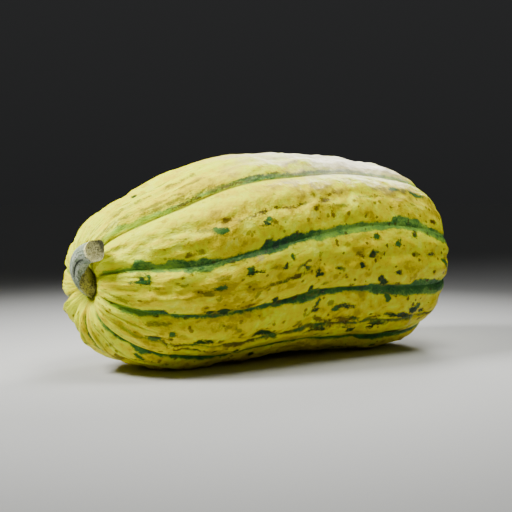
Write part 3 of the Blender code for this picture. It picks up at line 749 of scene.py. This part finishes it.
class Look:
    """A material as it is built, with its sources by name: fields, clouds, sums and paintings."""

    def __init__(self, name, values):
        self.material = bpy.data.materials.new(name)
        self.material.use_nodes = True
        self.tree = self.material.node_tree
        self.shader = self.tree.nodes["Principled BSDF"]
        self.source = {}
        for socket, value in values.items():
            self.shader.inputs[socket].default_value = value

    def read(self, place, fields, clouds):
        """Sources from fields of the mesh, and clouds about 0 in the place that another field gives. A cloud
        has its name, its stretch along the first axis, its size and its detail."""
        self.place = add(self.tree, "ShaderNodeAttribute", attribute_name=place).outputs["Vector"]
        for name in fields:
            self.source[name] = add(self.tree, "ShaderNodeAttribute", attribute_name=name).outputs["Fac"]
        for name, stretch, size, detail in clouds:
            longer = add(self.tree, "ShaderNodeMapping", {"Vector": self.place, "Scale": (1 / stretch, 1, 1)})
            values = {"Vector": longer.outputs[0], "Scale": 1 / size, "Detail": detail, "Roughness": 0.55}
            noise = add(self.tree, "ShaderNodeTexNoise", values)
            centred = add(self.tree, "ShaderNodeMath", {0: noise.outputs[0], 1: 0.5}, operation="SUBTRACT")
            self.source[name] = centred.outputs[0]
        return self.source

    def sum(self, recipe, total=0.0):
        """The sum of a first number and of the recipe's sources, each times its weight."""
        for name, weight in recipe.items():
            values = {0: self.source[name], 1: weight, 2: total}
            total = add(self.tree, "ShaderNodeMath", values, operation="MULTIPLY_ADD").outputs[0]
        return total

    def colour(self, name):
        """The colour that a hex code or a source's name stands for."""
        return linear(name) if name.startswith("#") else self.source[name]

    def paint(self, first, layers):
        """A first colour with others laid over it."""
        painting = self.colour(first)
        for layer in layers:
            painting = self.lay(painting, *layer)
        return painting

    def lay(self, painting, colour, start, full, recipe, most=1.0, scaled_by=None):
        """Lays a colour over a painting. Its cover starts and is full where its recipe gives these numbers,
        and a source may scale it."""
        cover = add(self.tree, "ShaderNodeMapRange", {0: self.sum(recipe), 1: start, 2: full, 4: most},
                    interpolation_type="SMOOTHSTEP").outputs[0]
        if scaled_by:
            values = {0: cover, 1: self.source[scaled_by]}
            cover = add(self.tree, "ShaderNodeMath", values, operation="MULTIPLY").outputs[0]
        values = {0: cover, 6: painting, 7: self.colour(colour)}
        return add(self.tree, "ShaderNodeMix", values, data_type="RGBA").outputs[2]

    def finished(self, colour, roughness, height):
        """The material, once its shader has its colour, its roughness and its fine relief."""
        values = {"Height": height, "Strength": BUMP_STRENGTH, "Distance": 1.0}
        normal = add(self.tree, "ShaderNodeBump", values).outputs["Normal"]
        for socket, value in (("Base Color", colour), ("Roughness", roughness), ("Normal", normal)):
            self.tree.links.new(value, self.shader.inputs[socket])
        return self.material


def rind_material():
    """Squash rind: hard, smooth and faintly waxy. Light rolls over it in soft satin highlights, and the eye
    reads the stripes and flecks as colour grown into the skin, ragged at their edges along the ribs."""
    look = Look("waxy_squash_rind", {"IOR": 1.22, "Specular Tint": linear("#FFF4A0")})
    fields = ("golden_and_shade", "stripe_inside", "stripe_depth", "stripe_down", "stripe_cover", "mark_inside",
              "mark_green", "mark_strength", "freckles", "groove", "graze", "bloom_and_sheen", "scar", "stem_hollow")
    source = look.read("skin_place", fields, (
        ("broad", 1.8, 11 * MM, 2.0),
        ("blotch", 1.3, 5 * MM, 3.0),
        ("streak", 4.0, 2.4 * MM, 3.0),
        ("mottle", 1.0, 2.8 * MM, 2.0),
        ("ragged", 1.5, 2.6 * MM, 3.0),
        ("grain", 1.2, 0.7 * MM, 3.0),
    ))
    cells = add(look.tree, "ShaderNodeTexVoronoi", {"Vector": look.place, "Scale": 1 / FRECKLE_CELL})
    source["cells"] = cells.outputs["Distance"]

    source["warmth"] = look.sum({"golden_and_shade": 1.0, "broad": 1.9, "blotch": 2.1, "mottle": 1.8, "streak": 0.6})
    source["ground"] = look.paint("#E6F000", (
        ("#E6E200", -0.15, 0.35, {"warmth": 1.0}),
        ("#E2D200", 0.3, 0.7, {"warmth": 1.0}),
        ("#BCA800", 0.7, 1.15, {"warmth": 1.0}),
        ("#F4F07C", 0.06, 0.2, {"blotch": -0.7, "mottle": -0.8, "golden_and_shade": -0.08}, 0.2),
        ("#C2A000", 0.08, 0.24, {"broad": -0.7, "ragged": 0.9}, 0.55),
        # Dark olive in the grooves and folds: partly the rind's green, partly painted shade
        ("#45520C", 0.1, 1.0, {"groove": 1.0}, 0.8),
    ))
    source["edge"] = look.sum({"stripe_inside": 1.0, "ragged": 2.7, "grain": 1.3})
    # The green darkens toward each stripe's upper edge: partly painted shade under the rib above
    source["shade"] = look.sum({
        "stripe_depth": 1.0, "stripe_down": -0.22, "edge": 0.06, "blotch": 0.9, "ragged": 0.6, "grain": 0.7,
    })
    source["green"] = look.paint("#96C226", (
        ("#709C3E", 0.15, 0.5, {"shade": 1.0}),
        ("#34682E", 0.52, 0.84, {"shade": 1.0}),
        ("#22402E", 0.88, 1.14, {"shade": 1.0}),
    ))
    source["blot"] = look.sum({"mark_inside": 1.0, "ragged": 2.8, "grain": 1.9})
    source["fleck"] = look.paint("#524010", (
        ("#67701A", 0.0, 0.4, {"mark_green": 1.0}),
        ("#326428", 0.4, 0.75, {"mark_green": 1.0}),
        ("#1A3C1E", 0.75, 1.0, {"mark_green": 1.0}),
    ))
    source["cork"] = look.paint("#8A6E46", (("#C2A878", -0.15, 0.15, {"grain": 1.0}),))
    skin = look.paint("ground", (
        ("#9AA81C", -0.9, 0.1, {"edge": 1.0}, 0.55, "stripe_depth"),
        ("green", -0.45, 0.4, {"edge": 1.0}, 1.0, "stripe_cover"),
        ("#9A8208", -1.0, 0.0, {"blot": 1.0}, 0.4, "mark_strength"),
        ("fleck", -0.45, 0.15, {"blot": 1.0}, 1.0, "mark_strength"),
        ("#4C420E", -0.19, -0.1, {"cells": -1.0, "ragged": 1.0}, 0.85, "freckles"),
        ("#B8AA70", 0.35, 0.8, {"graze": 1.0, "grain": 2.6, "ragged": 0.8}, 0.6),
        # Pale waxy bloom on the top, partly a painted sheen
        ("#EAE4CE", 0.0, 0.9, {"bloom_and_sheen": 1.0, "broad": 1.6, "blotch": 1.2, "streak": 0.8}, 0.7, "bloom_and_sheen"),
        ("#56641C", 0.0, 1.0, {"stem_hollow": 1.0}, 0.75),
        ("cork", 0.0, 1.0, {"scar": 1.0}),
    ))
    roughness = look.sum({"grain": 0.25, "blotch": 0.12, "scar": 0.35}, 0.43)
    relief = look.sum({"grain": 0.2 * MM, "streak": 0.3 * MM, "mottle": 0.5 * MM, "blotch": 0.85 * MM})
    return look.finished(skin, roughness, relief)


def stem_material():
    """Dry squash stalk: a matt, corky skin over woody ribs, aged grey-green, with a cut end of beige
    pith. It takes light softly, with no shine, and its fibres run along the hook."""
    look = Look("dry_corky_stalk", {"IOR": 1.45})
    source = look.read("stalk_place", ("furrow", "cut", "inner_side", "darker_up"), (
        ("fibre", 5.0, 0.8 * MM, 4.0),
        ("patch", 1.4, 2.4 * MM, 3.0),
        ("grain", 1.0, 0.5 * MM, 3.0),
    ))
    # The inner side's olive, partly painted shade
    source["inner"] = look.paint("#A4A040", (
        ("#4E4A18", -0.1, 0.17, {"fibre": 0.4, "grain": 1.1, "patch": 0.7}),
    ))
    source["pith"] = look.paint("#E4E09C", (
        ("#ACA268", 0.0, 0.2, {"patch": 1.0, "grain": 0.5}, 0.6),
        ("#544C28", 0.05, 0.14, {"grain": 1.0, "patch": -0.5}, 0.85),
        # Darker grey over the pith toward the side that faces up
        ("#5A5C46", 0.2, 1.0, {"darker_up": 1.0, "patch": 1.2}, 0.85),
    ))
    stalk = look.paint("#B2BCA4", (
        ("#86967A", -0.1, 0.12, {"patch": 0.8, "grain": 0.5}),
        ("#56623E", -0.02, 0.14, {"fibre": 0.8, "grain": 0.8}, 0.85),
        # Olive on the inner side of the hook, partly painted shade
        ("inner", 0.35, 0.65, {"inner_side": 1.0, "patch": 0.5}),
        # Near-black in the furrow: painted shade with some dark green
        ("#232A14", 0.0, 1.0, {"furrow": 1.0}, 0.9),
        ("pith", 0.3, 0.7, {"cut": 1.0}),
    ))
    roughness = look.sum({"patch": 0.3}, 0.8)
    relief = look.sum({"fibre": 0.6 * MM, "grain": 0.2 * MM})
    return look.finished(stalk, roughness, relief)


def placed(name, data):
    """A new object in the scene."""
    thing = bpy.data.objects.new(name, data)
    bpy.context.scene.collection.objects.link(thing)
    return thing


def closed_piece(name, rings, tips, material, fields, end_fields):
    """A smooth closed object from rings of points and a tip at each end, with its surface fields, which are 0
    at the tips unless that is given."""
    count, around = rings.shape[:2]
    points = np.concatenate([rings.reshape(-1, 3), tips])
    points[:, 2] = np.maximum(points[:, 2], REST_HEIGHT)
    points -= (MIDDLE_X, MIDDLE_Y, REST_HEIGHT)
    faces = []
    for column in range(around):
        nearest = (column + 1) % around
        faces.append((count * around, nearest, column))
        for row in range(0, (count - 1) * around, around):
            faces.append((row + column, row + nearest, row + around + nearest, row + around + column))
        last = (count - 1) * around
        faces.append((count * around + 1, last + column, last + nearest))
    mesh = bpy.data.meshes.new(name)
    mesh.from_pydata(points.tolist(), [], faces)
    shaped = bmesh.new()
    shaped.from_mesh(mesh)
    bmesh.ops.recalc_face_normals(shaped, faces=shaped.faces)
    shaped.to_mesh(mesh)
    shaped.free()
    mesh.shade_smooth()
    for field, values in fields.items():
        ends = np.reshape(end_fields.get(field, (0, 0)), (2, -1))
        rows = np.concatenate([values.reshape(count * around, -1), ends])
        kind, value = ("FLOAT", "value") if rows.shape[1] == 1 else ("FLOAT_VECTOR", "vector")
        mesh.attributes.new(field, kind, "POINT").data.foreach_set(value, rows.ravel())
    mesh.materials.append(material)
    return placed(name, mesh)


def rind_fields(skin):
    """What the rind's material reads at each point of the skin, by name."""
    turn = 2 * math.pi * skin.around / RIBS
    to_groove = np.minimum(skin.across, 1 - skin.across) * skin.rib_width
    # Painted shade, with some of the rind's green, in each groove and fold
    groove_shade_and_green = np.exp(-((to_groove / GROOVE_SHADE) ** 2)) * ease(skin.radius, RELIEF_STARTS, RELIEF_FULL)
    return {
        "skin_place": np.stack([skin.along * MM, RADIUS * np.cos(turn), RADIUS * np.sin(turn)], axis=-1),
        **striped(skin),
        **marked(skin),
        "golden_and_shade": golden_and_shade(skin),
        "freckles": freckled(skin),
        "groove": np.maximum(groove_shade_and_green, FOLD_TINT * skin.folds()),
        "graze": grazed(skin),
        "bloom_and_sheen": bloom_and_painted_sheen(skin),
        "scar": (1 - ease(skin.radius, SCAR_CORE * SCAR_RADIUS, SCAR_RADIUS)) * skin.blossom_half,
        "stem_hollow": (1 - ease(skin.radius, *HOLLOW_TINT)) * ~skin.blossom_half,
    }


def make_rind():
    """The whole fruit: one closed skin, fanned to a tip at each end."""
    skin = Skin()
    tips = np.array([end_point(0.0), end_point(math.pi)])
    end_fields = {
        "skin_place": ((0, 0, 0), (skin.row_along[-1] * MM, 0, 0)),
        "stripe_inside": (-MARK_REACH, -MARK_REACH),
        "mark_inside": (-MARK_REACH, -MARK_REACH),
        "scar": (0, 1),
        "stem_hollow": (1, 0),
    }
    piece = closed_piece("striped_rind", skin.points, tips, rind_material(), rind_fields(skin), end_fields)
    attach(piece, "root")
    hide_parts("fruit")


def hollow_floor(points):
    """X of the plain body at the stem end, behind each of these points."""
    turn = np.linspace(0, FLOOR_TURN, FLOOR_PLACES)
    station, x, radius = plain_profile(turn)
    away = np.linalg.norm(points[..., 1:] - end_point(0.0)[1:], axis=-1)
    return np.interp(away, radius, x)


def stem_outline(degrees):
    """The stem's ridged outline, as a share of its radius."""
    outline = np.full(degrees.shape, STEM_CORE)
    for place, width, height in STEM_RIDGES:
        off_ridge = (degrees - place + 180) % 360 - 180
        outline += height * np.exp(-((off_ridge / width) ** 2))
    return outline


def stem_furrow(degrees, place):
    """How deep the stem's furrow is, from 0 to 1."""
    lasting = ease(place, *FURROW_STARTS) * (1 - ease(place, *FURROW_ENDS))
    return np.exp(-(((degrees - FURROW_AT) / FURROW_WIDTH) ** 2)) * lasting


def stem_tube():
    """The stem's points in rows along its route, with their middles and directions, and each point's degrees
    round the ridges."""
    place = np.linspace(0, 1, STEM_PLACES)
    middle = end_point(0.0) + smooth_through(np.array(STEM_ROUTE) * MM, place)
    run = np.gradient(middle, axis=0)
    run /= np.linalg.norm(run, axis=1)[:, None]
    side = np.cross((0.0, 0.0, 1.0), run)
    for row in reversed(range(STEM_PLACES)):
        carried = side[min(row + 1, STEM_PLACES - 1)]
        side[row] = carried - carried.dot(run[row]) * run[row]
        side[row] /= np.linalg.norm(side[row])
    turn = np.linspace(0, 2 * math.pi, STEM_COLUMNS, endpoint=False)
    around = np.cos(turn)[:, None] * side[:, None] + np.sin(turn)[:, None] * np.cross(run, side)[:, None]
    degrees = np.degrees(turn) + STEM_TWIST * (1 - place[:, None])
    outline = stem_outline(degrees) - FURROW_DEPTH * stem_furrow(degrees, place[:, None])
    reach = smooth_through(np.array(STEM_RADII) * MM, place)[:, None] * outline
    return middle[:, None] + reach[..., None] * around, middle, run, degrees


def stem_rings(tube, middle, run):
    """Rings from the foot up the stem and in over its cut end, the tips at both ends, and the row of the tube
    that each point comes from."""
    sunk = tube[..., 0] > hollow_floor(tube) - JOINT_GAP
    starts = [np.flatnonzero(~sunk[:, column])[0] for column in range(STEM_COLUMNS)]
    rows = np.round(np.linspace(starts, STEM_PLACES - 1, STEM_ROWS)).astype(int)
    rings = list(tube[rows, np.arange(STEM_COLUMNS)])
    foot_middle = rings[0].mean(axis=0)
    inner_foot = foot_middle + FOOT_SHARE * (rings[0] - foot_middle)
    draws = np.random.default_rng(SEED + 400)
    cut_rings = []
    for share, sink in CUT_RINGS:
        roughness = draws.uniform(-1, 1, (STEM_COLUMNS, 1)) * CUT_ROUGHNESS * share * (share < SMOOTH_RIM)
        sunk_by = sink * PITH_DEPTH + roughness
        cut_rings.append(middle[-1] + share * (rings[-1] - middle[-1]) - sunk_by * run[-1])
    tips = np.array([foot_middle, middle[-1] - PITH_DEPTH * run[-1]])
    for foot_part in (inner_foot, rings[0], tips[:1]):
        foot_part[:, 0] = hollow_floor(foot_part) - JOINT_GAP
    source_rows = np.concatenate([rows[:1], rows, np.repeat(rows[-1:], len(CUT_RINGS), axis=0)])
    return np.array([inner_foot] + rings + cut_rings), tips, source_rows


def stem_fields(rings, places, length, degrees, middle):
    """What the stalk's material reads at each point of the stem, by name."""
    cut = np.zeros(places.shape)
    cut[-len(CUT_RINGS):] = 1
    shares = np.ones(places.shape)
    shares[-len(CUT_RINGS):] = np.array(CUT_RINGS)[:, :1]
    turn = 2 * math.pi * np.arange(STEM_COLUMNS) / STEM_COLUMNS
    rim_radius = STEM_RADII[-1] * MM
    inner_start = np.interp(places, *np.array(INNER_STARTS).T)
    past_start = (degrees - inner_start) % 360
    span = INNER_ENDS - inner_start
    upward = (rings[-len(CUT_RINGS)] - middle[-1]) @ DARKER_TOWARD / rim_radius
    return {
        "stalk_place": np.stack([places * length, shares * rim_radius * np.cos(turn),
                                 shares * rim_radius * np.sin(turn)], axis=-1),
        "furrow": stem_furrow(degrees, places) * (1 - cut),
        "cut": np.maximum(cut, ease(places, *CUT_STARTS)),
        "inner_side": ease(past_start, 0, INNER_EDGE) * (1 - ease(past_start, span - INNER_EDGE, span)),
        "darker_up": np.clip(upward, 0, 1) * ease(shares, *DARKER_SHARES) * cut,
    }


def make_stem():
    """The stub of the stalk, from its foot in the hollow to its cut end."""
    tube, middle, run, degrees = stem_tube()
    rings, tips, source_rows = stem_rings(tube, middle, run)
    degrees = degrees[source_rows, np.arange(STEM_COLUMNS)]
    length = np.linalg.norm(np.diff(middle, axis=0), axis=1).sum()
    fields = stem_fields(rings, source_rows / STEM_PLACES, length, degrees, middle)
    end_fields = {"stalk_place": ((0, 0, 0), (length, 0, 0)), "cut": (0, 1)}
    piece = closed_piece("corky_stem", rings, tips, stem_material(), fields, end_fields)
    piece.data.set_sharp_from_angle(angle=SHARP_EDGE)
    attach(piece, "root")
    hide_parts("stem")


def make_camera():
    """The camera, level across its picture, at the photograph's angle."""
    camera = placed("camera", bpy.data.cameras.new("camera"))
    camera.data.lens = CAMERA_LENS
    camera.data.sensor_width = CAMERA_SENSOR
    camera.data.clip_start = 0.01
    camera.location = CAMERA_PLACE
    camera.rotation_euler = (math.pi / 2 - CAMERA_RISE, 0, CAMERA_AZIMUTH)
    bpy.context.scene.camera = camera


def make_softbox(name, place, size, watts, colour):
    """A square soft light that faces the squash."""
    lamp = placed(name, bpy.data.lights.new(name, "AREA"))
    lamp.data.size = size
    lamp.data.energy = watts
    lamp.data.color = linear(colour)[:3]
    lamp.data.spread = SOFTBOX_SPREAD
    lamp.location = place
    lamp.rotation_euler = (Vector(SOFTBOX_AIM) - Vector(place)).to_track_quat("-Z", "Y").to_euler()


def make_floor():
    """A plain pale floor under the squash."""
    mesh = bpy.data.meshes.new("studio_floor")
    corners = [(-1, -1), (1, -1), (1, 1), (-1, 1)]
    mesh.from_pydata([(x * FLOOR_REACH, y * FLOOR_REACH, 0) for x, y in corners], [], [(0, 1, 2, 3)])
    paper = {"Roughness": 0.9, "Base Color": linear("#B4B4B2")}
    mesh.materials.append(Look("pale_studio_floor", paper).material)
    placed("studio_floor", mesh)


def make_room():
    """A dim room, lighter overhead."""
    world = bpy.data.worlds.new("studio")
    world.use_nodes = True
    tree = world.node_tree
    upward = add(tree, "ShaderNodeSeparateXYZ", {0: add(tree, "ShaderNodeTexCoord").outputs["Generated"]})
    room = add(tree, "ShaderNodeMapRange", {0: upward.outputs["Z"], 1: 0.0, 2: 1.0, 3: ROOM_LIGHT,
                                            4: ROOM_LIGHT * CEILING_SHARE})
    tree.nodes["Background"].inputs["Color"].default_value = linear("#EEF0F2")
    tree.links.new(room.outputs[0], tree.nodes["Background"].inputs["Strength"])
    bpy.context.scene.world = world


make_camera()
make_floor()
make_room()
for softbox in SOFTBOXES:
    make_softbox(*softbox)
make_rind()
make_stem()
